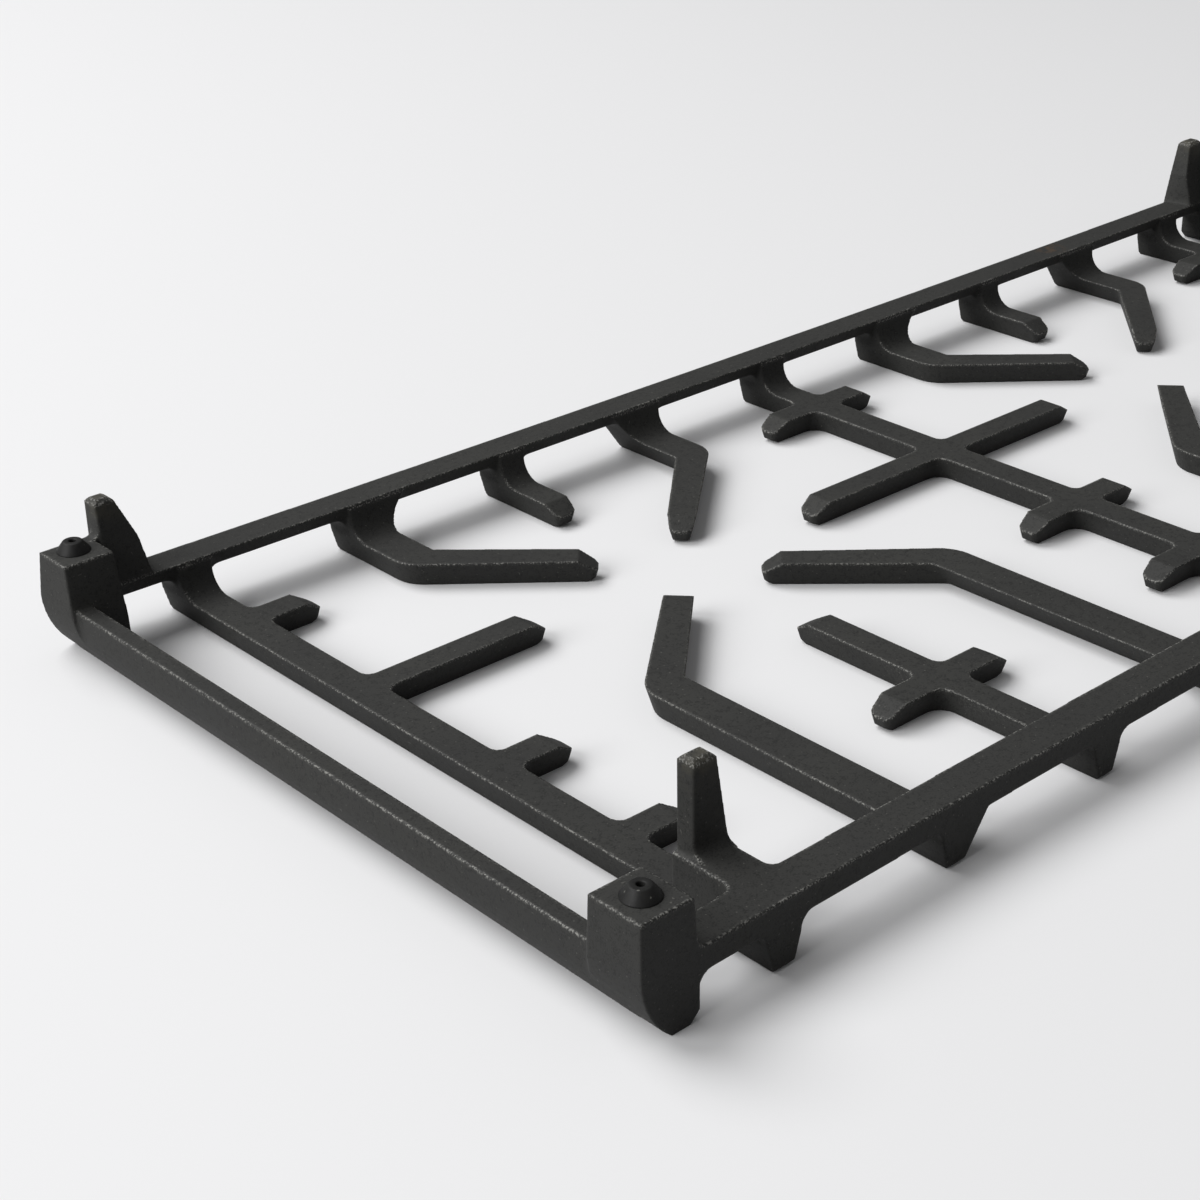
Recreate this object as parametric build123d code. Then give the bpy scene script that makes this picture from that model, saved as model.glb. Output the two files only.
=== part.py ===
from build123d import *
import math
import os

# Stove grate for two burners, lying upside down as a cook would set it aside:
# the pan side rests on z = 0 and the feet and locating pegs point up.
# X runs along the two side rails, Y runs across, millimetres throughout.

# Overall sizes
length = 477.4
width = 215.0
side_bow = 2.3
right_trim = 2.6

# Bars and rails
finger_height = 6.7
finger_draft = 1.9
rail_width = 9.6
rail_gap = 3.5
rail_height = 5.8
rail_slope = 1.7
leg_edge = 0.8
crossbar_width = 9.4
finger_width = 7.9
straight_width = 8.4
bent_width = 11.5
bent_flare = 4.8
diagonal_root_width = 9.8
diagonal_tip_width = 7.8
bend_radius = 10.5
corner_radius = 2.6
nose_chamfer = 1.7

# Places of the bars
end_to_crossbar = 37.6
bent_offset = 48.8
burner_y = 29.3
row_pitch = 47.9
last_row_pitch = 39.6
short_arm = 22.1
long_clearance = 46.0
side_clearance = 43.0
bent_clearance = 20.0
bent_nose_angle = 133.8
bend_height = 46.4

# Finger tips
tip_run = 6.0
blunt_tip_run = 2.2
tip_nose = 3.1
tip_lift = 1.9
tip_clear = 3.0

# Corner blocks and end bars
block_length = 13.3
block_width = 14.3
block_rise = 11.8
block_sweep = 7.4
block_lean = 1.4
block_draft = 1.9
block_chamfer = 2.4
block_root_radius = 2.6
far_block_lean = 2.4
end_bar_width = 4.6
end_bar_inset = 1.2
end_bar_straight = 4.0

# Locating pegs
peg_height = 37.6
far_peg_drop = 0.6
far_peg_gap = 1.4
far_peg_thickness = 4.8
far_peg_knee = 9.9
far_peg_knee_drop = 2.0
far_peg_knee_thickness = 6.7
far_peg_skew = 2.8
far_left_peg_length = 5.0
far_left_peg_root = 15.5
far_right_peg_length = 6.6
far_right_peg_root = 14.1
near_peg_length = 6.1
near_peg_root = 9.8
near_peg_thickness = 4.8
near_peg_inset = 27.1
near_peg_shift = 3.3
near_pad_extra = 1.2
peg_top_chamfer = 0.9
peg_root_radius = 2.5

# Rubber feet
foot_diameter = 8.6
foot_height = 2.6
foot_crown = 4.6
stem_diameter = 5.0
stem_length = 6.5
foot_hole = 1.7
foot_hole_depth = 1.6

# How far hidden joints of the casting reach into each other, and how close counts as the same place
overlap = 1.0
same = 0.01

# Derived sizes
half_length = (length + right_trim) / 2
half_width = width / 2
rail_bottom = finger_height + rail_gap
rail_top = rail_bottom + rail_height
leg_top = rail_bottom + 0.86 * rail_height
block_top = rail_top + block_rise
far_peg_height = peg_height - far_peg_drop
crossbar_x = half_length - end_to_crossbar
burner_x = crossbar_x / 2
block_inner_x = half_length - block_length
middle_x = -right_trim / 2
rail_half = block_inner_x + middle_x
neck_radius = 0.95 * rail_gap
hidden_root = 0.4 * rail_width
rail_sole = 0.79 * rail_width
end_bar_foot = 0.85 * end_bar_width
rail_meet_lean = 0.55 * block_lean
tip_lift_run = 2 * tip_lift
sweep_radius = 0.66 * (rail_top - finger_height)
draft_angle = math.degrees(math.atan(finger_draft / finger_height))
row_a = burner_y + row_pitch
row_c = burner_y - row_pitch
row_d = row_c - last_row_pitch
rows = (row_a, burner_y, row_c, row_d)


def side_y(x):
    """Outer face of a bowed side rail, measured from the middle, at a place along it."""
    return half_width - side_bow * (1 - ((x - middle_x) / rail_half) ** 2)


def face_from(*lines):
    """Flat face inside a closed run of lines and arcs."""
    return make_face([edge for line in lines for edge in line.edges()])


def drafted(plan):
    """Bar drawn as its plan at finger height, narrowing toward the pan side."""
    raised = Pos(0, 0, finger_height) * plan
    return extrude(raised, amount=finger_height, dir=(0, 0, -1), taper=draft_angle)


def xz_prism(sketch, y_from, y_to):
    """Profile drawn in X and Z, carried along Y."""
    profile = Plane.XZ.offset(-y_from) * sketch
    return extrude(profile, amount=y_to - y_from, dir=(0, 1, 0))


def yz_prism(sketch, x_from, x_to):
    """Profile drawn in Y and Z, carried along X."""
    return extrude(Plane.YZ.offset(x_from) * sketch, amount=x_to - x_from)


def tip_cut(x, y, angle, run=tip_run):
    """Sloped facet and lifted underside taken off a finger tip that points along an angle."""
    over = finger_height + tip_clear
    rise = (finger_height - tip_nose) / run
    back = run + tip_clear / rise
    top = Polygon((0, tip_nose), (-back, over), (tip_clear, over), (tip_clear, tip_nose), align=None)
    under = Polygon((-tip_lift_run, 0), (0, tip_lift), (tip_clear, tip_lift), (tip_clear, -tip_clear),
                    (-tip_lift_run, -tip_clear), align=None)
    cutter = xz_prism(top, -bent_width, bent_width) + xz_prism(under, -bent_width, bent_width)
    return Pos(x, y, 0) * Rot(0, 0, angle) * cutter


def rail_line():
    """Bowed outer line of the far rail, from block to block."""
    left = middle_x - rail_half
    right = middle_x + rail_half
    return ThreePointArc((left, half_width), (middle_x, side_y(middle_x)), (right, half_width))


def inside_bow():
    """Space on the inner side of the far rail's outer line, with its lower edge taken off."""
    left = middle_x - rail_half
    right = middle_x + rail_half
    rest = Polyline((right, half_width), (right, 0), (left, 0), (left, half_width))
    space = extrude(face_from(rail_line(), rest), amount=block_top)
    return chamfer(space.edges().filter_by(GeomType.CIRCLE).sort_by(Axis.Z)[0], leg_edge)


def under_rail(x, y_out):
    """Fillet on the right of an upright that ends at x, carried along the rail's sloped sole."""
    low = rail_bottom - neck_radius
    profile = face_from(
        RadiusArc((x, low), (x + neck_radius, rail_bottom), neck_radius),
        Polyline((x + neck_radius, rail_bottom), (x + neck_radius, rail_bottom + overlap),
                 (x - overlap, rail_bottom + overlap), (x - overlap, low), (x, low)))
    spare = half_width - y_out
    start = Pos(0, half_width, -spare * rail_slope / rail_sole) * (Plane.XZ * profile)
    along = Vector(0, -rail_sole, rail_slope)
    run = along.length * (spare + rail_sole) / rail_sole
    return extrude(start, amount=run, dir=along.normalized())


def neck(x, side, left, right):
    """Leg from a bar up into a side rail; each side is its half width at pan, finger and rail level."""
    y_out = side_y(x)
    y_in = y_out - rail_width
    y_low = y_in - sweep_radius
    z_high = finger_height + sweep_radius
    levels = (0, finger_height, leg_top)
    right_side = list(zip(right, levels))
    left_side = [(-half, z) for half, z in zip(left, levels)]
    outline = Polygon(*right_side, *left_side[::-1], align=None)
    rise = face_from(
        RadiusArc((y_in, z_high), (y_low, finger_height), sweep_radius),
        Polyline((y_low, finger_height), (y_in + overlap, finger_height), (y_in + overlap, z_high),
                 (y_in, z_high)))
    web = yz_prism(rise, -left[2], right[2]) & xz_prism(outline, y_low, y_in + overlap)
    fillets = under_rail(right[1], y_out) + mirror(under_rail(left[1], y_out), Plane.YZ)
    upright = xz_prism(outline, y_in, half_width) + web + fillets
    leg = Pos(x, 0, 0) * upright & inside_bow()
    return leg if side > 0 else mirror(leg, Plane.XZ)


def plain_side(bar_width):
    """Half widths of a drafted side that goes straight up above finger height."""
    half = bar_width / 2
    return (half - finger_draft, half, half)


def symmetric_neck(x, side, bar_width):
    """Leg of a bar whose two sides are alike."""
    return neck(x, side, plain_side(bar_width), plain_side(bar_width))


def rounded_plan(plan, half, levels, noses):
    """Round the inner corners where arms leave a bar, and take the corners off the noses."""
    on_side = [v for v in plan.vertices() if abs(abs(v.X) - half) < same]
    roots = [v for v in on_side if any(abs(abs(v.Y - row) - finger_width / 2) < same for row in levels)]
    plan = fillet(roots, corner_radius)
    ends = [v for v in plan.vertices() if any(abs(abs(v.X) - nose) < same for nose in noses)]
    return chamfer(ends, nose_chamfer)


def arm(x_from, x_to, y):
    """Plan of an arm that leaves a bar along X."""
    return Pos((x_from + x_to) / 2, y) * Rectangle(abs(x_to - x_from), finger_width)


def crossbar():
    """Bar across the left end with one long finger and three short ones."""
    long_arm = crossbar_x - burner_x - long_clearance
    plan = Rectangle(crossbar_width, 2 * (side_y(-crossbar_x) - hidden_root))
    plan += arm(0, long_arm, burner_y)
    for y in (row_a, row_c, row_d):
        plan += arm(0, short_arm, y)
    bar = drafted(rounded_plan(plan, crossbar_width / 2, rows, (long_arm, short_arm)))
    bar -= tip_cut(long_arm, burner_y, 0)
    for y in (row_a, row_c, row_d):
        bar -= tip_cut(short_arm, y, 0)
    return Pos(-crossbar_x, 0, 0) * bar


def spine():
    """Bar across the middle with arms toward both burners."""
    long_arm = burner_x - long_clearance
    plan = Rectangle(crossbar_width, 2 * (side_y(0) - hidden_root))
    plan += arm(-long_arm, long_arm, burner_y)
    for y in (row_a, row_c, row_d):
        plan += arm(-short_arm, short_arm, y)
    bar = drafted(rounded_plan(plan, crossbar_width / 2, rows, (long_arm, short_arm)))
    for sign, angle in ((1, 0), (-1, 180)):
        bar -= tip_cut(sign * long_arm, burner_y, angle)
        for y in (row_a, row_c, row_d):
            bar -= tip_cut(sign * short_arm, y, angle)
    return bar


def long_finger(x):
    """Straight finger from the near rail toward the burner, with a short cross piece."""
    nose = burner_y - side_clearance
    root = -side_y(x) + hidden_root
    plan = Pos(0, (nose + root) / 2) * Rectangle(straight_width, nose - root)
    plan += arm(-short_arm, short_arm, row_d)
    plan = rounded_plan(plan, straight_width / 2, (row_d,), (short_arm,))
    ends = [v for v in plan.vertices() if abs(v.Y - nose) < same]
    bar = drafted(chamfer(ends, nose_chamfer))
    bar -= tip_cut(0, nose, 90)
    bar -= tip_cut(short_arm, row_d, 0)
    bar -= tip_cut(-short_arm, row_d, 180)
    return Pos(x, 0, 0) * bar


def short_finger(x):
    """Straight finger from the far rail toward the burner."""
    nose = burner_y + side_clearance
    root = side_y(x) - hidden_root
    plan = Pos(0, (nose + root) / 2) * Rectangle(straight_width, root - nose)
    ends = [v for v in plan.vertices() if abs(v.Y - nose) < same]
    bar = drafted(chamfer(ends, nose_chamfer))
    bar -= tip_cut(0, nose, -90)
    return Pos(x, 0, 0) * bar


def crossing(tip, back, x):
    """Point where the line through two points reaches a place along X."""
    return tip + (back - tip) * ((x - tip.X) / (back.X - tip.X))


def flat(*points):
    """Plan outline through points."""
    return Polygon(*[(point.X, point.Y) for point in points], align=None)


def bent_finger(reach, run):
    """Finger that leaves a rail at +Y square, then turns toward the burner at the origin."""
    bend = Vector(-bent_offset, bend_height)
    nose = Vector(bent_clearance, 0).rotate(Axis.Z, bent_nose_angle)
    along = (nose - bend).normalized()
    inward = Vector(-along.Y, along.X)
    root = bend - along * bent_width
    tip_out = nose - inward * (diagonal_tip_width / 2)
    tip_in = nose + inward * (diagonal_tip_width / 2)
    back_out = root - inward * (diagonal_root_width / 2)
    back_in = root + inward * (diagonal_root_width / 2)
    x_out = -bent_offset - bent_width / 2
    x_in = -bent_offset + bent_width / 2
    y_end = reach - hidden_root
    corner_out = crossing(tip_out, back_out, x_out)
    corner_in = crossing(tip_in, back_in, x_in)
    plan = flat(tip_out, corner_out, Vector(x_out, y_end), Vector(x_in, y_end), corner_in, tip_in)
    finger = drafted(chamfer(plan.vertices().sort_by_distance(nose)[:2], nose_chamfer))
    bend_edge = finger.edges().filter_by(lambda e: e.bounding_box().size.Z > tip_nose)
    finger = fillet(bend_edge.sort_by_distance(corner_out)[0], bend_radius)
    angle = math.degrees(math.atan2(along.Y, along.X))
    finger -= tip_cut(nose.X, nose.Y, angle, run)
    flare = Polygon((x_in, finger_height), (x_in - bent_flare, 0), (x_in, 0), align=None)
    diagonal = drafted(flat(tip_out, back_out, back_in, tip_in))
    return finger - (xz_prism(flare, corner_in.Y - bent_flare, y_end) - diagonal)


def bent_fingers(x_burner):
    """Four bent fingers with their legs, round one burner."""
    half = bent_width / 2
    flare_above = bent_flare * (leg_top - finger_height) / finger_height
    sides = (plain_side(bent_width), (half - bent_flare, half, half + flare_above))
    pieces = []
    for row in (1, -1):
        for end in (-1, 1):
            x = x_burner + end * bent_offset
            run = blunt_tip_run if row + end == -2 else tip_run
            finger = bent_finger(side_y(x) - row * burner_y, run)
            finger = finger if row > 0 else mirror(finger, Plane.XZ)
            finger = finger if end < 0 else mirror(finger, Plane.YZ)
            pieces.append(Pos(x_burner, burner_y, 0) * finger)
            pieces.append(neck(x, row, *sides[::-end]))
    return pieces


def far_rail():
    """Side rail with a flat top, a straight outer face and a gently bowed run."""
    path = rail_line()
    start = Plane(origin=path @ 0, x_dir=Vector(0, 0, 1).cross(path % 0), z_dir=path % 0)
    section = Polygon((0, rail_bottom), (0, rail_top), (-rail_width, rail_top),
                      (-rail_sole, rail_bottom + rail_slope), align=None)
    return sweep(start * section, path=path)


def end_bar():
    """Low wall across the left end whose outer face sweeps in toward the pan side."""
    x = -half_length + end_bar_inset
    foot = -half_length + block_sweep
    bend = rail_top - end_bar_straight
    profile = face_from(
        TangentArc((x, bend), (foot, 0), tangent=(0, -1)),
        Polyline((foot, 0), (foot + end_bar_foot, 0), (x + end_bar_width, rail_top),
                 (x, rail_top), (x, bend)))
    reach = half_width - block_width / 2
    return xz_prism(profile, -reach, reach)


def corner_block(outer_lean):
    """Block at the far left corner, with the hole for a foot and fillets into the rail."""
    x = -half_length
    inner = -block_inner_x
    root = inner + block_lean
    side = face_from(
        TangentArc((x, rail_top), (x + block_sweep, 0), tangent=(0, -1)),
        Polyline((x + block_sweep, 0), (root - block_chamfer, 0), (root, block_chamfer),
                 (root, rail_bottom), (inner, block_top), (x, block_top), (x, rail_top)))
    y_in = half_width - block_width
    front = Polygon((y_in - block_draft, 0), (half_width, 0), (half_width, rail_top),
                    (half_width - outer_lean, block_top), (y_in, block_top), align=None)
    pillar = xz_prism(side, y_in - block_draft, half_width) & yz_prism(front, x, root)
    face = inner + rail_meet_lean
    high = rail_top + block_root_radius
    over = face_from(
        RadiusArc((face, high), (face + block_root_radius, rail_top), -block_root_radius),
        Polyline((face + block_root_radius, rail_top), (face + block_root_radius, rail_top - overlap),
                 (face - overlap, rail_top - overlap), (face - overlap, high), (face, high)))
    y_out = side_y(root)
    fillets = (under_rail(root, y_out) + xz_prism(over, y_out - rail_width, half_width)) & inside_bow()
    hole = Pos(*foot_place()) * Cylinder(stem_diameter / 2, stem_length + overlap / 2,
                                         align=(Align.CENTER, Align.CENTER, Align.MAX))
    return pillar + fillets - hole


def foot_place():
    """Centre of the far left foot on the top of its block."""
    return (-half_length + block_length / 2, half_width - block_width / 2, block_top)


def level(z, *corners):
    """Flat section of a peg at a height."""
    return Pos(0, 0, z) * Polygon(*corners, align=None)


def blunted_post(sections):
    """Peg drawn through level sections, with its top edges taken off."""
    post = loft(sections, ruled=True)
    return chamfer(post.faces().sort_by(Axis.Z)[-1].edges(), peg_top_chamfer)


def far_peg(top_length, root_length):
    """Locating peg that stands beside the far left block and flares into the rail."""
    wall = -block_inner_x
    y_out = side_y(wall)
    knee = block_top - far_peg_knee_drop
    hidden = wall - overlap
    x = wall + far_peg_gap
    y_top = y_out - far_peg_thickness
    y_knee = y_out - far_peg_knee_thickness
    y_root = y_out - rail_width
    x_knee = x + far_peg_knee
    top = level(far_peg_height, (x, y_top), (x + top_length, y_top), (x + top_length, y_out), (x, y_out))
    waist = level(knee, (x, y_knee), (x_knee, y_knee), (x_knee, y_out), (x, y_out))
    middle = level(knee, (hidden, y_knee), (x_knee, y_knee), (x_knee, y_out), (hidden, y_out))
    x_root = wall + root_length
    base = level(rail_top - overlap / 2, (hidden, y_root), (x_root - far_peg_skew, y_root),
                 (x_root, y_out), (hidden, y_out))
    x_heel = x - peg_root_radius
    z_heel = block_top + peg_root_radius
    heel = face_from(
        RadiusArc((x_heel, block_top), (x, z_heel), -peg_root_radius),
        Polyline((x, z_heel), (x + overlap, z_heel), (x + overlap, block_top - overlap),
                 (x_heel, block_top - overlap), (x_heel, block_top)))
    root = xz_prism(heel, y_knee + overlap, half_width - far_block_lean)
    return loft([base, middle], ruled=True) + blunted_post([waist, top]) + root


def near_peg():
    """Locating peg on a raised pad where the left crossbar rises into the near rail."""
    rail_in = -side_y(-crossbar_x) + rail_width
    y_back = -half_width + near_peg_inset
    y_front = y_back - near_peg_thickness
    x_left = -crossbar_width / 2
    x_right = crossbar_width / 2 + near_pad_extra
    shoulder = crossbar_width
    plan = Polygon((-shoulder, rail_in - overlap), (shoulder, rail_in - overlap), (shoulder, rail_in),
                   (x_right, rail_in), (x_right, y_back), (x_left, y_back), (x_left, rail_in),
                   (-shoulder, rail_in), align=None)
    roots = [v for v in plan.vertices() if abs(v.Y - rail_in) < same and abs(v.X) < shoulder - same]
    pad = Pos(0, 0, rail_bottom + rail_slope) * extrude(fillet(roots, corner_radius),
                                                        amount=rail_height - rail_slope)
    body = Pos((x_left + x_right) / 2, (rail_in + y_back) / 2) * Box(
        x_right - x_left, y_back - rail_in, rail_top - finger_height / 2 - overlap,
        align=(Align.CENTER, Align.CENTER, Align.MIN))
    x = -near_peg_shift
    y_toe = y_front - peg_root_radius
    z_toe = rail_top + peg_root_radius
    z_low = rail_top - overlap
    front = face_from(
        RadiusArc((y_toe, rail_top), (y_front, z_toe), -peg_root_radius),
        Polyline((y_front, z_toe), (y_front, peg_height), (y_back, peg_height),
                 (y_back, z_low), (y_toe, z_low), (y_toe, rail_top)))
    side = Polygon((x, z_low), (x + near_peg_root, z_low), (x + near_peg_length, peg_height),
                   (x, peg_height), align=None)
    post = yz_prism(front, x, x + near_peg_root) & xz_prism(side, y_toe, y_back)
    post = chamfer(post.faces().sort_by(Axis.Z)[-1].edges(), peg_top_chamfer)
    return Pos(-crossbar_x, 0, 0) * (pad + Pos(0, 0, finger_height / 2) * body + post)


def foot():
    """Rubber button foot with a stem, standing on the origin."""
    wide = foot_diameter / 2
    stem = stem_diameter / 2
    hole_floor = foot_height - foot_hole_depth
    profile = Polygon((0, -stem_length), (stem, -stem_length), (stem, 0), (wide, 0),
                      (foot_crown / 2, foot_height), (foot_hole / 2, foot_height),
                      (foot_hole / 2, hole_floor), (0, hole_floor), align=None)
    return revolve(Plane.XZ * profile, axis=Axis.Z)


def left_end():
    """End bar, blocks, near peg and crossbar at the left end."""
    near_block = mirror(corner_block(0), Plane.XZ)
    return [end_bar(), corner_block(far_block_lean), near_block, near_peg(), crossbar()]


def burner_fingers(x):
    """Fingers round one burner with their legs."""
    legs = [symmetric_neck(x, side, straight_width) for side in (1, -1)]
    return [long_finger(x), short_finger(x)] + legs + bent_fingers(x)


def to_right(piece):
    """Piece of the left end carried over to the right end."""
    return Pos(-right_trim, 0, 0) * mirror(piece, Plane.YZ)


rail = far_rail()
pieces = [rail, mirror(rail, Plane.XZ), spine()]
for x in (-crossbar_x, 0, crossbar_x - right_trim):
    pieces += [symmetric_neck(x, side, crossbar_width) for side in (1, -1)]
pieces += burner_fingers(-burner_x) + burner_fingers(burner_x)
for piece in left_end():
    pieces += [piece, to_right(piece)]
pieces.append(far_peg(far_left_peg_length, far_left_peg_root))
pieces.append(to_right(far_peg(far_right_peg_length, far_right_peg_root)))
casting = Part() + pieces

os.makedirs("parts", exist_ok=True)
export_step(casting, "parts/grate_casting.step")
foot_x, foot_y, foot_z = foot_place()
for row_name, y in (("far", foot_y), ("near", -foot_y)):
    for end_name, x in (("left", foot_x), ("right", -foot_x - right_trim)):
        export_step(Pos(x, y, foot_z) * foot(), f"parts/foot_{row_name}_{end_name}.step")
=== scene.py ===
"""Cast iron stove grate, lying pan side down on a pale table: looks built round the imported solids."""

import math

import bmesh
import bpy
import numpy as np
from mathutils import Matrix, Vector
from mathutils.kdtree import KDTree


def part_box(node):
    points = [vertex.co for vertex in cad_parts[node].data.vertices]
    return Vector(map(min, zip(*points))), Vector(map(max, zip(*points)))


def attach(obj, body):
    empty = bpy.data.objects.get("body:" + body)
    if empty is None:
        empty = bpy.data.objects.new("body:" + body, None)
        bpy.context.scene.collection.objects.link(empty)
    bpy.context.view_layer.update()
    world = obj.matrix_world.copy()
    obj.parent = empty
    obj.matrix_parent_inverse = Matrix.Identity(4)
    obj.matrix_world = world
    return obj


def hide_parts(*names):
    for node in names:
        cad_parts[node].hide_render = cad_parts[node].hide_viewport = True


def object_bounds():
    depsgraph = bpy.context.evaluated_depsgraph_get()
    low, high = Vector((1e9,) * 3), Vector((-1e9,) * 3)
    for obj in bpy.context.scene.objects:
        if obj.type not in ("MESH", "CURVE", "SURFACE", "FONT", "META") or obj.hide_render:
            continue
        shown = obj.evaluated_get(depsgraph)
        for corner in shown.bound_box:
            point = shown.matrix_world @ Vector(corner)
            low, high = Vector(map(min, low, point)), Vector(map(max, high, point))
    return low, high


# Sizes in metres and angles in degrees
MM = 0.001
WELD = 0.02 * MM

# Even mesh of the cast skin: halvings of its box, share of the box it spans, share of faces kept at the end
SKIN_HALVINGS = 10
SKIN_SPREAD = 0.95
SKIN_KEPT = 0.17

# Filling of inside corners and softening of all edges: passes and strength of each
FILL_PASSES = 30
FILL_STEP = 0.5
SKIN_PASSES = 4
SKIN_SOFTNESS = 0.5

# Worn top edges with a painted highlight: how sharp an edge is, how far its upper face turns up, spacing of
# its points, reach of the wear and painted highlight
EDGE_ANGLE = 32.0
EDGE_UPWARD = 0.7
EDGE_STEP = 0.5 * MM
EDGE_REACH = 0.38 * MM

# Iron: colours as screen values, share that each covers, noise scales, roughness, sheen and relief
IRON_DARK = (51, 51, 50)
IRON_LIGHT = (57, 57, 55)
IRON_PIT = (40, 40, 39)
IRON_DUST = (86, 83, 72)
IRON_RUST = (92, 72, 52)
# IRON_GLINT is partly worn bare iron and partly a painted highlight along the top edges
IRON_GLINT = (164, 163, 158)
IRON_SPECK = (120, 119, 114)
DUST_COVER = 0.6
RUST_COVER = 0.75
GLINT_COVER = 0.80
IRON_SPECK_COVER = 0.35
IRON_GRAIN_SCALES = (2300.0, 38.0, 1500.0)
DUST_SCALE = 260.0
RUST_SCALE = 420.0
GLINT_SCALE = 2100.0
IRON_ROUGHNESS = 0.60
IRON_ROUGHNESS_SPREAD = 0.16
EDGE_POLISH = 0.32
IRON_SHEEN = 0.24
IRON_RELIEF = 0.38
IRON_RELIEF_DEPTH = 0.12 * MM

# Rubber: the same kinds of values
RUBBER_DARK = (22, 22, 22)
RUBBER_LIGHT = (32, 32, 31)
RUBBER_SPECK = (120, 120, 114)
RUBBER_SPECK_COVER = 0.55
RUBBER_GRAIN_SCALES = (3000.0, 420.0, 1700.0)
RUBBER_ROUGHNESS = 0.42
RUBBER_ROUGHNESS_SPREAD = 0.26
RUBBER_SHEEN = 0.26
RUBBER_RELIEF = 0.35
RUBBER_RELIEF_DEPTH = 0.10 * MM

# Rubber buttons
BUTTON_HEIGHT = 2.6 * MM
BUTTON_CROWN = 2.3 * MM
BUTTON_STEM = 2.5 * MM
BUTTON_HOLE = 0.85 * MM
BUTTON_HOLE_DEPTH = 1.6 * MM
BUTTON_SIDES = 64
BUTTON_ROUND = 0.3 * MM
BUTTON_ROUND_STEPS = 3

# Rust bloom on the top of the far rail
RUST_PLACE = Vector((139.8, 103.0, 16.0)) * MM
RUST_REACH = 7.0 * MM

# Heights between which the locating pegs turn dusty
DUST_LOW = 30.0 * MM
DUST_HIGH = 37.0 * MM

# Table: half its side, its colour for bounced light and for what is seen, roughness and sheen
TABLE_REACH = 6.0
TABLE_BOUNCE = (118, 118, 119)
TABLE_SEEN = (236, 236, 237)
TABLE_ROUGHNESS = 0.8
TABLE_SHEEN = 0.1

# Strength of the surroundings, and each lamp's name, place, size and power in watts
WORLD_STRENGTH = 0.18
LAMPS = (("lamp_back", (-0.79, 1.59, 2.40), 2.3, 62.0),
         ("lamp_left", (-2.70, 0.39, 1.65), 1.95, 61.0))

# Colour sockets of the mix node, which shares its socket names between kinds of data
MIX_FIRST, MIX_SECOND, MIX_RESULT = 6, 7, 2

# Place and lens of the camera
CAMERA_PLACE = Vector((-465.27, -357.14, 262.05)) * MM
CAMERA_TURN = 41.06
CAMERA_DOWN = 26.75
CAMERA_ROLL = -1.25
SENSOR = 36.0
FOCAL_PIXELS = 2297.53
IMAGE_PIXELS = 1200.0
CLIP_START = 0.01

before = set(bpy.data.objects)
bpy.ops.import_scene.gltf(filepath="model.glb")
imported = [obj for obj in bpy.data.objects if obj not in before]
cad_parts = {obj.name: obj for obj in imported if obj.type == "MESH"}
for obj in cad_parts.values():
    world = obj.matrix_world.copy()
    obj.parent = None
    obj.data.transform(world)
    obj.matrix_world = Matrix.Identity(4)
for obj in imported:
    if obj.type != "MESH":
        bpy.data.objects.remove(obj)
cad_low, cad_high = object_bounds()


def linear(red, green, blue):
    """Colour written as screen values from 0 to 255, for a shader socket."""
    def channel(value):
        part = value / 255.0
        return part / 12.92 if part <= 0.04045 else ((part + 0.055) / 1.055) ** 2.4
    return (channel(red), channel(green), channel(blue), 1.0)


def add_node(tree, kind, **values):
    """Node with its properties set by name."""
    node = tree.nodes.new(kind)
    for name, value in values.items():
        setattr(node, name, value)
    return node


def feed(tree, socket, value):
    """Give an input a number or a link."""
    if isinstance(value, (int, float, tuple)):
        socket.default_value = value
    else:
        tree.links.new(value, socket)


def noise(tree, vector, scale, detail, roughness):
    """Noise texture over the given coordinates."""
    node = add_node(tree, "ShaderNodeTexNoise")
    feed(tree, node.inputs["Vector"], vector)
    feed(tree, node.inputs["Scale"], scale)
    feed(tree, node.inputs["Detail"], detail)
    feed(tree, node.inputs["Roughness"], roughness)
    return node.outputs["Fac"]


def ramp(tree, value, low, high):
    """Value carried from 0 at low to 1 at high, held between."""
    node = add_node(tree, "ShaderNodeMapRange", clamp=True)
    feed(tree, node.inputs["From Min"], low)
    feed(tree, node.inputs["From Max"], high)
    feed(tree, node.inputs["Value"], value)
    return node.outputs["Result"]


def math_node(tree, operation, first, second):
    """Sum, product or other operation of two values, each a socket or a number."""
    node = add_node(tree, "ShaderNodeMath", operation=operation)
    for socket, value in zip(node.inputs, (first, second)):
        feed(tree, socket, value)
    return node.outputs["Value"]


def mix_colour(tree, factor, first, second):
    """Blend of two colours, each a socket or a colour, by a factor socket."""
    node = add_node(tree, "ShaderNodeMix", data_type="RGBA")
    feed(tree, node.inputs["Factor"], factor)
    feed(tree, node.inputs[MIX_FIRST], first)
    feed(tree, node.inputs[MIX_SECOND], second)
    return node.outputs[MIX_RESULT]


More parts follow.
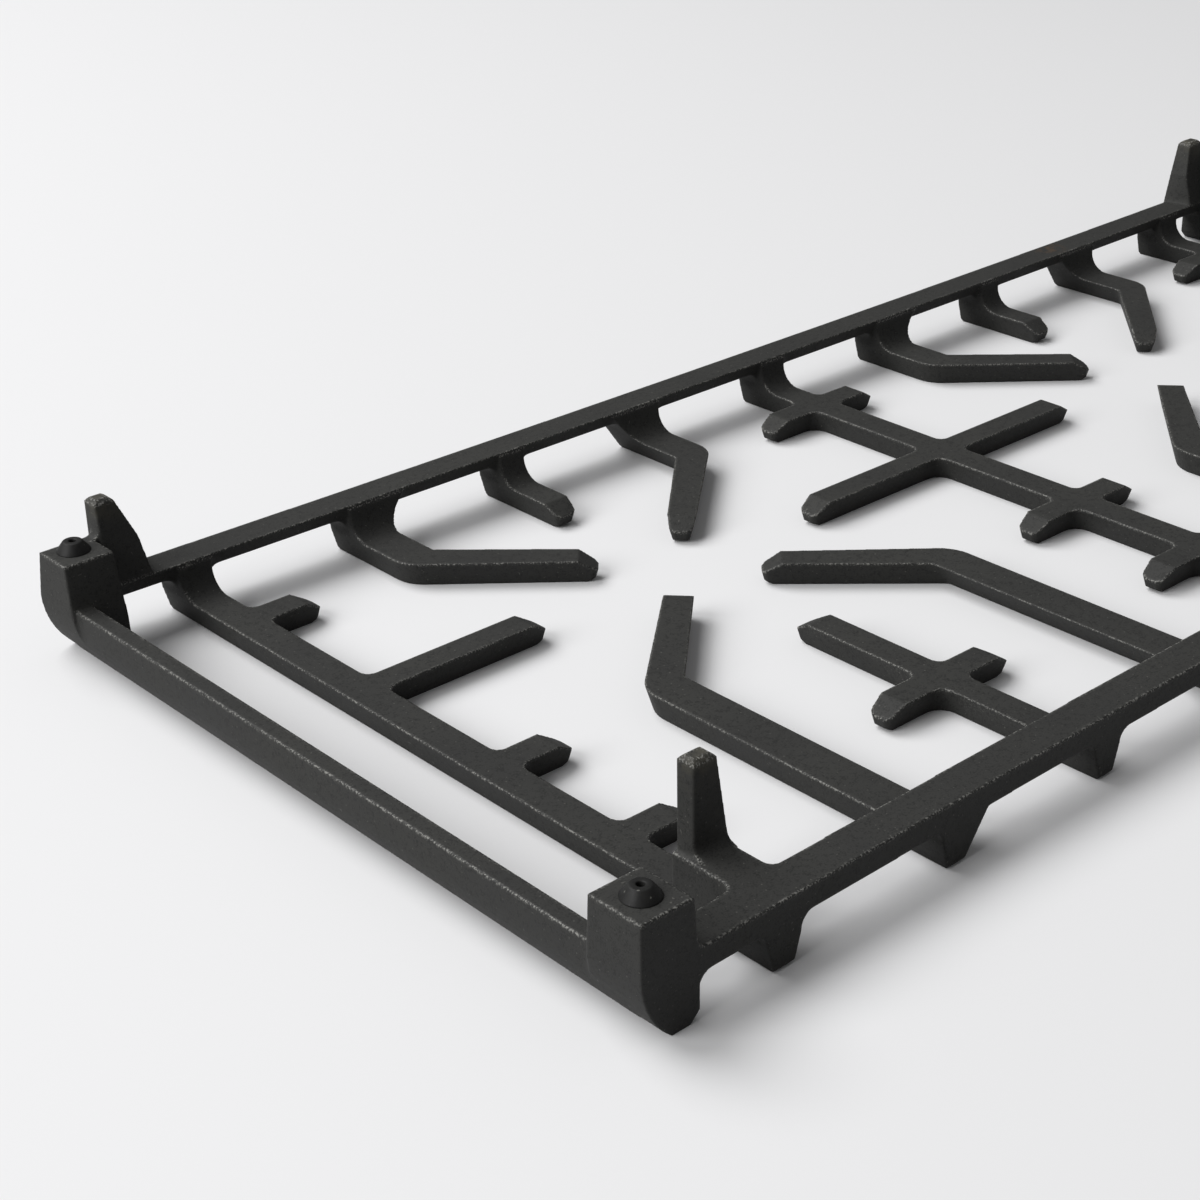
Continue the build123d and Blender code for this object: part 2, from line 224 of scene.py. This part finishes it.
def grain_group():
    """Rough skin over the object's own space: fine grain, slow mottling and sparse bright specks."""
    group = bpy.data.node_groups.new("rough_grain", "ShaderNodeTree")
    face = group.interface
    for name in ("Grain Scale", "Mottle Scale", "Speck Scale"):
        face.new_socket(name=name, in_out="INPUT", socket_type="NodeSocketFloat")
    for name in ("Height", "Mottle", "Specks"):
        face.new_socket(name=name, in_out="OUTPUT", socket_type="NodeSocketFloat")
    entry = add_node(group, "NodeGroupInput")
    leave = add_node(group, "NodeGroupOutput")
    place = add_node(group, "ShaderNodeTexCoord").outputs["Object"]
    grain = noise(group, place, entry.outputs["Grain Scale"], detail=2.0, roughness=0.55)
    broad_scale = math_node(group, "MULTIPLY", entry.outputs["Grain Scale"], 0.3)
    broad = noise(group, place, broad_scale, detail=1.0, roughness=0.5)
    height = math_node(group, "ADD", math_node(group, "MULTIPLY", grain, 0.65),
                       math_node(group, "MULTIPLY", broad, 0.35))
    mottle = noise(group, place, entry.outputs["Mottle Scale"], detail=3.0, roughness=0.5)
    speckle = noise(group, place, entry.outputs["Speck Scale"], detail=0.0, roughness=0.5)
    specks = ramp(group, speckle, low=0.78, high=0.84)
    group.links.new(height, leave.inputs["Height"])
    group.links.new(mottle, leave.inputs["Mottle"])
    group.links.new(specks, leave.inputs["Specks"])
    return group


def new_material(name):
    """Material with its Principled shader."""
    material = bpy.data.materials.new(name)
    material.use_nodes = True
    return material, material.node_tree, material.node_tree.nodes["Principled BSDF"]


def place_grain(tree, group, scales):
    """The rough grain group placed in a material with its own scales for grain, mottling and specks."""
    node = add_node(tree, "ShaderNodeGroup", node_tree=group)
    for name, scale in zip(("Grain Scale", "Mottle Scale", "Speck Scale"), scales):
        node.inputs[name].default_value = scale
    return node


def varied(tree, base, spread, value):
    """Number plus a share of a varying value."""
    return math_node(tree, "ADD", base, math_node(tree, "MULTIPLY", value, spread))


def cover(tree, mask, share, below, colour):
    """Colour laid over another where a mask is set, up to a share."""
    return mix_colour(tree, math_node(tree, "MULTIPLY", mask, share), below, linear(*colour))


def bump(tree, height, strength, distance):
    """Surface relief from a height value."""
    node = add_node(tree, "ShaderNodeBump")
    node.inputs["Strength"].default_value = strength
    node.inputs["Distance"].default_value = distance
    tree.links.new(height, node.inputs["Height"])
    return node.outputs["Normal"]


def rust_mask(tree, place):
    """Soft patch on the far rail, broken up by noise."""
    away = add_node(tree, "ShaderNodeVectorMath", operation="DISTANCE")
    tree.links.new(place, away.inputs[0])
    away.inputs[1].default_value = RUST_PLACE
    near = ramp(tree, away.outputs["Value"], low=RUST_REACH, high=0.0)
    patches = noise(tree, place, RUST_SCALE, detail=3.0, roughness=0.6)
    return math_node(tree, "MULTIPLY", near, ramp(tree, patches, low=0.42, high=0.66))


def dust_mask(tree, place):
    """Patchy dust that grows toward the tops of the pegs."""
    height = add_node(tree, "ShaderNodeSeparateXYZ")
    tree.links.new(place, height.inputs[0])
    patches = noise(tree, place, DUST_SCALE, detail=3.0, roughness=0.6)
    return math_node(tree, "MULTIPLY", ramp(tree, height.outputs["Z"], low=DUST_LOW, high=DUST_HIGH),
                     ramp(tree, patches, low=0.36, high=0.62))


def cast_iron(group):
    """Matt black cast iron: sandy skin, worn top edges with a painted highlight, pegs dusty at their tops.
    """
    material, tree, shader = new_material("cast_iron")
    place = add_node(tree, "ShaderNodeTexCoord").outputs["Object"]
    grain = place_grain(tree, group, IRON_GRAIN_SCALES)
    skin = mix_colour(tree, ramp(tree, grain.outputs["Mottle"], low=0.30, high=0.70),
                      linear(*IRON_DARK), linear(*IRON_LIGHT))
    pitted = mix_colour(tree, ramp(tree, grain.outputs["Height"], low=0.50, high=0.36),
                        skin, linear(*IRON_PIT))
    dusted = cover(tree, dust_mask(tree, place), DUST_COVER, pitted, IRON_DUST)
    rusted = cover(tree, rust_mask(tree, place), RUST_COVER, dusted, IRON_RUST)
    # Painted highlight and wear: a pale grey along the top edges stands partly for worn bare iron and
    # partly for light glinting off the rounded edges
    edge = add_node(tree, "ShaderNodeAttribute", attribute_name="edge_wear_and_highlight").outputs["Fac"]
    broken = ramp(tree, noise(tree, place, GLINT_SCALE, detail=1.0, roughness=0.5), low=0.50, high=0.62)
    rubbed_and_highlit = cover(tree, math_node(tree, "MULTIPLY", edge, broken), GLINT_COVER, rusted, IRON_GLINT)
    specked = cover(tree, grain.outputs["Specks"], IRON_SPECK_COVER, rubbed_and_highlit, IRON_SPECK)
    tree.links.new(specked, shader.inputs["Base Color"])
    matt = varied(tree, IRON_ROUGHNESS, IRON_ROUGHNESS_SPREAD, grain.outputs["Mottle"])
    polish = math_node(tree, "MULTIPLY", edge, EDGE_POLISH)
    tree.links.new(math_node(tree, "SUBTRACT", matt, polish), shader.inputs["Roughness"])
    shader.inputs["Specular IOR Level"].default_value = IRON_SHEEN
    relief = bump(tree, grain.outputs["Height"], IRON_RELIEF, IRON_RELIEF_DEPTH)
    tree.links.new(relief, shader.inputs["Normal"])
    return material


def foot_rubber(group):
    """Moulded black rubber with a faint mottling and pale specks."""
    material, tree, shader = new_material("foot_rubber")
    grain = place_grain(tree, group, RUBBER_GRAIN_SCALES)
    skin = mix_colour(tree, ramp(tree, grain.outputs["Mottle"], low=0.35, high=0.70),
                      linear(*RUBBER_DARK), linear(*RUBBER_LIGHT))
    specked = cover(tree, grain.outputs["Specks"], RUBBER_SPECK_COVER, skin, RUBBER_SPECK)
    tree.links.new(specked, shader.inputs["Base Color"])
    matt = varied(tree, RUBBER_ROUGHNESS, RUBBER_ROUGHNESS_SPREAD, grain.outputs["Mottle"])
    tree.links.new(matt, shader.inputs["Roughness"])
    shader.inputs["Specular IOR Level"].default_value = RUBBER_SHEEN
    relief = bump(tree, grain.outputs["Height"], RUBBER_RELIEF, RUBBER_RELIEF_DEPTH)
    tree.links.new(relief, shader.inputs["Normal"])
    return material


def welded_copy(node, name):
    """Copy of a solid's mesh with its loose triangles joined."""
    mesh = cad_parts[node].data.copy()
    mesh.name = name
    shape = bmesh.new()
    shape.from_mesh(mesh)
    bmesh.ops.remove_doubles(shape, verts=shape.verts, dist=WELD)
    shape.to_mesh(mesh)
    shape.free()
    piece = bpy.data.objects.new(name, mesh)
    bpy.context.scene.collection.objects.link(piece)
    return piece


def keep_result(piece):
    """Turn a piece's modifiers into its plain mesh."""
    graph = bpy.context.evaluated_depsgraph_get()
    mesh = bpy.data.meshes.new_from_object(piece.evaluated_get(graph))
    piece.modifiers.clear()
    piece.data = mesh


def outer_edges(piece):
    """Search tree of points along the sharp outward edges that border an upward face."""
    shape = bmesh.new()
    shape.from_mesh(piece.data)
    shape.normal_update()
    points = []
    for edge in shape.edges:
        if not edge.is_manifold or not edge.is_convex:
            continue
        if edge.calc_face_angle(0.0) < math.radians(EDGE_ANGLE):
            continue
        if max(face.normal.z for face in edge.link_faces) < EDGE_UPWARD:
            continue
        start, end = (vertex.co.copy() for vertex in edge.verts)
        steps = max(1, round((end - start).length / EDGE_STEP))
        points += [start.lerp(end, step / steps) for step in range(steps + 1)]
    shape.free()
    tree = KDTree(len(points))
    for index, point in enumerate(points):
        tree.insert(point, index)
    tree.balance()
    return tree


def fill_corners(mesh):
    """Raise the inside corners of an even mesh into fillets, within the box of the solids."""
    count = len(mesh.vertices)
    place = np.empty(count * 3)
    mesh.vertices.foreach_get("co", place)
    place = place.reshape(-1, 3)
    outward = np.empty(count * 3)
    mesh.vertices.foreach_get("normal", outward)
    outward = outward.reshape(-1, 3)
    ends = np.empty(len(mesh.edges) * 2, dtype=np.int64)
    mesh.edges.foreach_get("vertices", ends)
    first, second = ends.reshape(-1, 2).T
    share = np.bincount(first, minlength=count) + np.bincount(second, minlength=count)
    for _ in range(FILL_PASSES):
        around = [np.bincount(first, place[second, axis], count)
                  + np.bincount(second, place[first, axis], count)
                  for axis in range(3)]
        pull = np.stack(around, 1) / share[:, None] - place
        rise = np.maximum((pull * outward).sum(1), 0.0)
        place += FILL_STEP * rise[:, None] * outward
    place = np.clip(place, np.array(cad_low), np.array(cad_high))
    mesh.vertices.foreach_set("co", place.ravel())
    mesh.update()


def cast_skin(piece):
    """Even out a piece's mesh, fill its inside corners and soften its edges as casting sand does."""
    even = piece.modifiers.new("even", "REMESH")
    even.mode = "SHARP"
    even.octree_depth = SKIN_HALVINGS
    even.scale = SKIN_SPREAD
    even.use_remove_disconnected = False
    keep_result(piece)
    fill_corners(piece.data)
    soft = piece.modifiers.new("soft", "SMOOTH")
    soft.factor = SKIN_SOFTNESS
    soft.iterations = SKIN_PASSES
    fewer = piece.modifiers.new("fewer", "DECIMATE")
    fewer.ratio = SKIN_KEPT
    keep_result(piece)


def mark_edge_wear_and_highlight(piece, edges):
    """Store how near each point lies to a worn top edge, which carries wear and a painted highlight."""
    wear = []
    for vertex in piece.data.vertices:
        distance = edges.find(vertex.co)[2]
        wear.append(math.exp(-(distance / EDGE_REACH) ** 2))
    attribute = piece.data.attributes.new("edge_wear_and_highlight", "FLOAT", "POINT")
    attribute.data.foreach_set("value", wear)


def shade(piece, material):
    """Give a piece its finish, with soft shading."""
    piece.data.materials.clear()
    piece.data.materials.append(material)
    piece.data.polygons.foreach_set("use_smooth", [True] * len(piece.data.polygons))


def build_casting(material):
    """The iron casting with its cast skin."""
    piece = welded_copy("grate_casting", "grate_iron")
    edges = outer_edges(piece)
    cast_skin(piece)
    mark_edge_wear_and_highlight(piece, edges)
    shade(piece, material)
    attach(piece, "root")
    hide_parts("grate_casting")


def button_tree(material):
    """Geometry nodes that set a rubber button with its stem and hole on each point."""
    tree = bpy.data.node_groups.new("rubber_buttons", "GeometryNodeTree")
    face = tree.interface
    face.new_socket(name="Places", in_out="INPUT", socket_type="NodeSocketGeometry")
    for name in ("Base Radius", "Crown Radius", "Height", "Stem Radius", "Stem Length", "Hole Radius",
                 "Hole Depth"):
        face.new_socket(name=name, in_out="INPUT", socket_type="NodeSocketFloat")
    face.new_socket(name="Buttons", in_out="OUTPUT", socket_type="NodeSocketGeometry")
    entry = add_node(tree, "NodeGroupInput")
    leave = add_node(tree, "NodeGroupOutput")
    cone = add_node(tree, "GeometryNodeMeshCone")
    cone.inputs["Vertices"].default_value = BUTTON_SIDES
    feed(tree, cone.inputs["Radius Bottom"], entry.outputs["Base Radius"])
    feed(tree, cone.inputs["Radius Top"], entry.outputs["Crown Radius"])
    feed(tree, cone.inputs["Depth"], entry.outputs["Height"])
    stem = upright(tree, entry.outputs["Stem Radius"], entry.outputs["Stem Length"],
                   math_node(tree, "MULTIPLY", entry.outputs["Stem Length"], -0.5))
    hole = upright(tree, entry.outputs["Hole Radius"],
                   math_node(tree, "MULTIPLY", entry.outputs["Hole Depth"], 2.0), entry.outputs["Height"])
    whole = add_node(tree, "GeometryNodeMeshBoolean", operation="UNION")
    tree.links.new(cone.outputs["Mesh"], whole.inputs["Mesh 2"])
    tree.links.new(stem, whole.inputs["Mesh 2"])
    cut = add_node(tree, "GeometryNodeMeshBoolean", operation="DIFFERENCE")
    tree.links.new(whole.outputs["Mesh"], cut.inputs["Mesh 1"])
    tree.links.new(hole, cut.inputs["Mesh 2"])
    spread = add_node(tree, "GeometryNodeInstanceOnPoints")
    tree.links.new(entry.outputs["Places"], spread.inputs["Points"])
    tree.links.new(cut.outputs["Mesh"], spread.inputs["Instance"])
    real = add_node(tree, "GeometryNodeRealizeInstances")
    tree.links.new(spread.outputs["Instances"], real.inputs["Geometry"])
    finish = add_node(tree, "GeometryNodeSetMaterial")
    finish.inputs["Material"].default_value = material
    tree.links.new(real.outputs["Geometry"], finish.inputs["Geometry"])
    tree.links.new(finish.outputs["Geometry"], leave.inputs["Buttons"])
    return tree


def upright(tree, radius, depth, middle):
    """Upright round bar whose middle is at a height."""
    bar = add_node(tree, "GeometryNodeMeshCylinder")
    bar.inputs["Vertices"].default_value = BUTTON_SIDES
    feed(tree, bar.inputs["Radius"], radius)
    feed(tree, bar.inputs["Depth"], depth)
    lift = add_node(tree, "ShaderNodeCombineXYZ")
    feed(tree, lift.inputs["Z"], middle)
    move = add_node(tree, "GeometryNodeTransform")
    tree.links.new(bar.outputs["Mesh"], move.inputs["Geometry"])
    tree.links.new(lift.outputs["Vector"], move.inputs["Translation"])
    return move.outputs["Geometry"]


def build_buttons(material):
    """The four rubber buttons in their blocks."""
    nodes = sorted(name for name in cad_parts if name.startswith("foot_"))
    boxes = [[Vector(corner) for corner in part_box(node)] for node in nodes]
    places = [((low.x + high.x) / 2, (low.y + high.y) / 2, high.z - BUTTON_HEIGHT) for low, high in boxes]
    low, high = boxes[0]
    mesh = bpy.data.meshes.new("rubber_buttons")
    mesh.from_pydata(places, [], [])
    piece = bpy.data.objects.new("rubber_buttons", mesh)
    bpy.context.scene.collection.objects.link(piece)
    tree = button_tree(material)
    nodes_modifier = piece.modifiers.new("buttons", "NODES")
    nodes_modifier.node_group = tree
    sizes = {"Base Radius": (high.x - low.x) / 2,
             "Crown Radius": BUTTON_CROWN, "Height": BUTTON_HEIGHT,
             "Stem Radius": BUTTON_STEM, "Stem Length": high.z - low.z - BUTTON_HEIGHT,
             "Hole Radius": BUTTON_HOLE, "Hole Depth": BUTTON_HOLE_DEPTH}
    for item in tree.interface.items_tree:
        if item.name in sizes:
            nodes_modifier[item.identifier] = sizes[item.name]
    rim = piece.modifiers.new("rim", "BEVEL")
    rim.width = BUTTON_ROUND
    rim.segments = BUTTON_ROUND_STEPS
    rim.limit_method = "ANGLE"
    rim.angle_limit = math.radians(EDGE_ANGLE)
    keep_result(piece)
    shade(piece, material)
    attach(piece, "root")
    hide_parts(*nodes)


def pale_table():
    """Pale floor that the grate lies on, which throws little light back up."""
    mesh = bpy.data.meshes.new("table_top")
    corners = [(TABLE_REACH * x, TABLE_REACH * y, 0) for x, y in ((-1, -1), (1, -1), (1, 1), (-1, 1))]
    mesh.from_pydata(corners, [], [(0, 1, 2, 3)])
    table = bpy.data.objects.new("table_top", mesh)
    bpy.context.scene.collection.objects.link(table)
    material, tree, shader = new_material("table_white")
    path = add_node(tree, "ShaderNodeLightPath")
    direct = math_node(tree, "MAXIMUM", path.outputs["Is Camera Ray"], path.outputs["Is Glossy Ray"])
    seen = math_node(tree, "MAXIMUM", direct, path.outputs["Is Transmission Ray"])
    tree.links.new(mix_colour(tree, seen, linear(*TABLE_BOUNCE), linear(*TABLE_SEEN)),
                   shader.inputs["Base Color"])
    shader.inputs["Roughness"].default_value = TABLE_ROUGHNESS
    shader.inputs["Specular IOR Level"].default_value = TABLE_SHEEN
    mesh.materials.append(material)


def soft_light(name, place, size, power):
    """Large soft lamp at a place, turned to the middle of the grate."""
    data = bpy.data.lights.new(name, "AREA")
    data.shape = "DISK"
    data.size = size
    data.energy = power
    lamp = bpy.data.objects.new(name, data)
    lamp.location = place
    lamp.rotation_euler = (-Vector(place)).to_track_quat("-Z", "Y").to_euler()
    bpy.context.scene.collection.objects.link(lamp)


def studio():
    """Dim even surroundings, a large lamp behind on the left and a second one from the left end."""
    world = bpy.data.worlds.new("studio")
    world.use_nodes = True
    background = world.node_tree.nodes["Background"]
    background.inputs["Color"].default_value = (1.0, 1.0, 1.0, 1.0)
    background.inputs["Strength"].default_value = WORLD_STRENGTH
    bpy.context.scene.world = world
    for lamp in LAMPS:
        soft_light(*lamp)


def photo_camera():
    """Camera at the viewing angle and lens of the photograph."""
    turn, down, roll = (math.radians(v) for v in (CAMERA_TURN, CAMERA_DOWN, CAMERA_ROLL))
    ahead = Vector((math.cos(down) * math.sin(turn), math.cos(down) * math.cos(turn), -math.sin(down)))
    right = Vector((math.cos(turn), -math.sin(turn), 0.0))
    up = right.cross(ahead)
    across = right * math.cos(roll) + up * math.sin(roll)
    upward = up * math.cos(roll) - right * math.sin(roll)
    data = bpy.data.cameras.new("photo_camera")
    data.sensor_width = SENSOR
    data.lens = SENSOR * FOCAL_PIXELS / IMAGE_PIXELS
    data.clip_start = CLIP_START
    camera = bpy.data.objects.new("photo_camera", data)
    axes = Matrix((across, upward, -ahead)).transposed().to_4x4()
    camera.matrix_world = Matrix.Translation(CAMERA_PLACE) @ axes
    bpy.context.scene.collection.objects.link(camera)
    bpy.context.scene.camera = camera


bpy.context.scene.view_settings.view_transform = "Standard"
photo_camera()
studio()
pale_table()
rough_grain = grain_group()
build_casting(cast_iron(rough_grain))
build_buttons(foot_rubber(rough_grain))
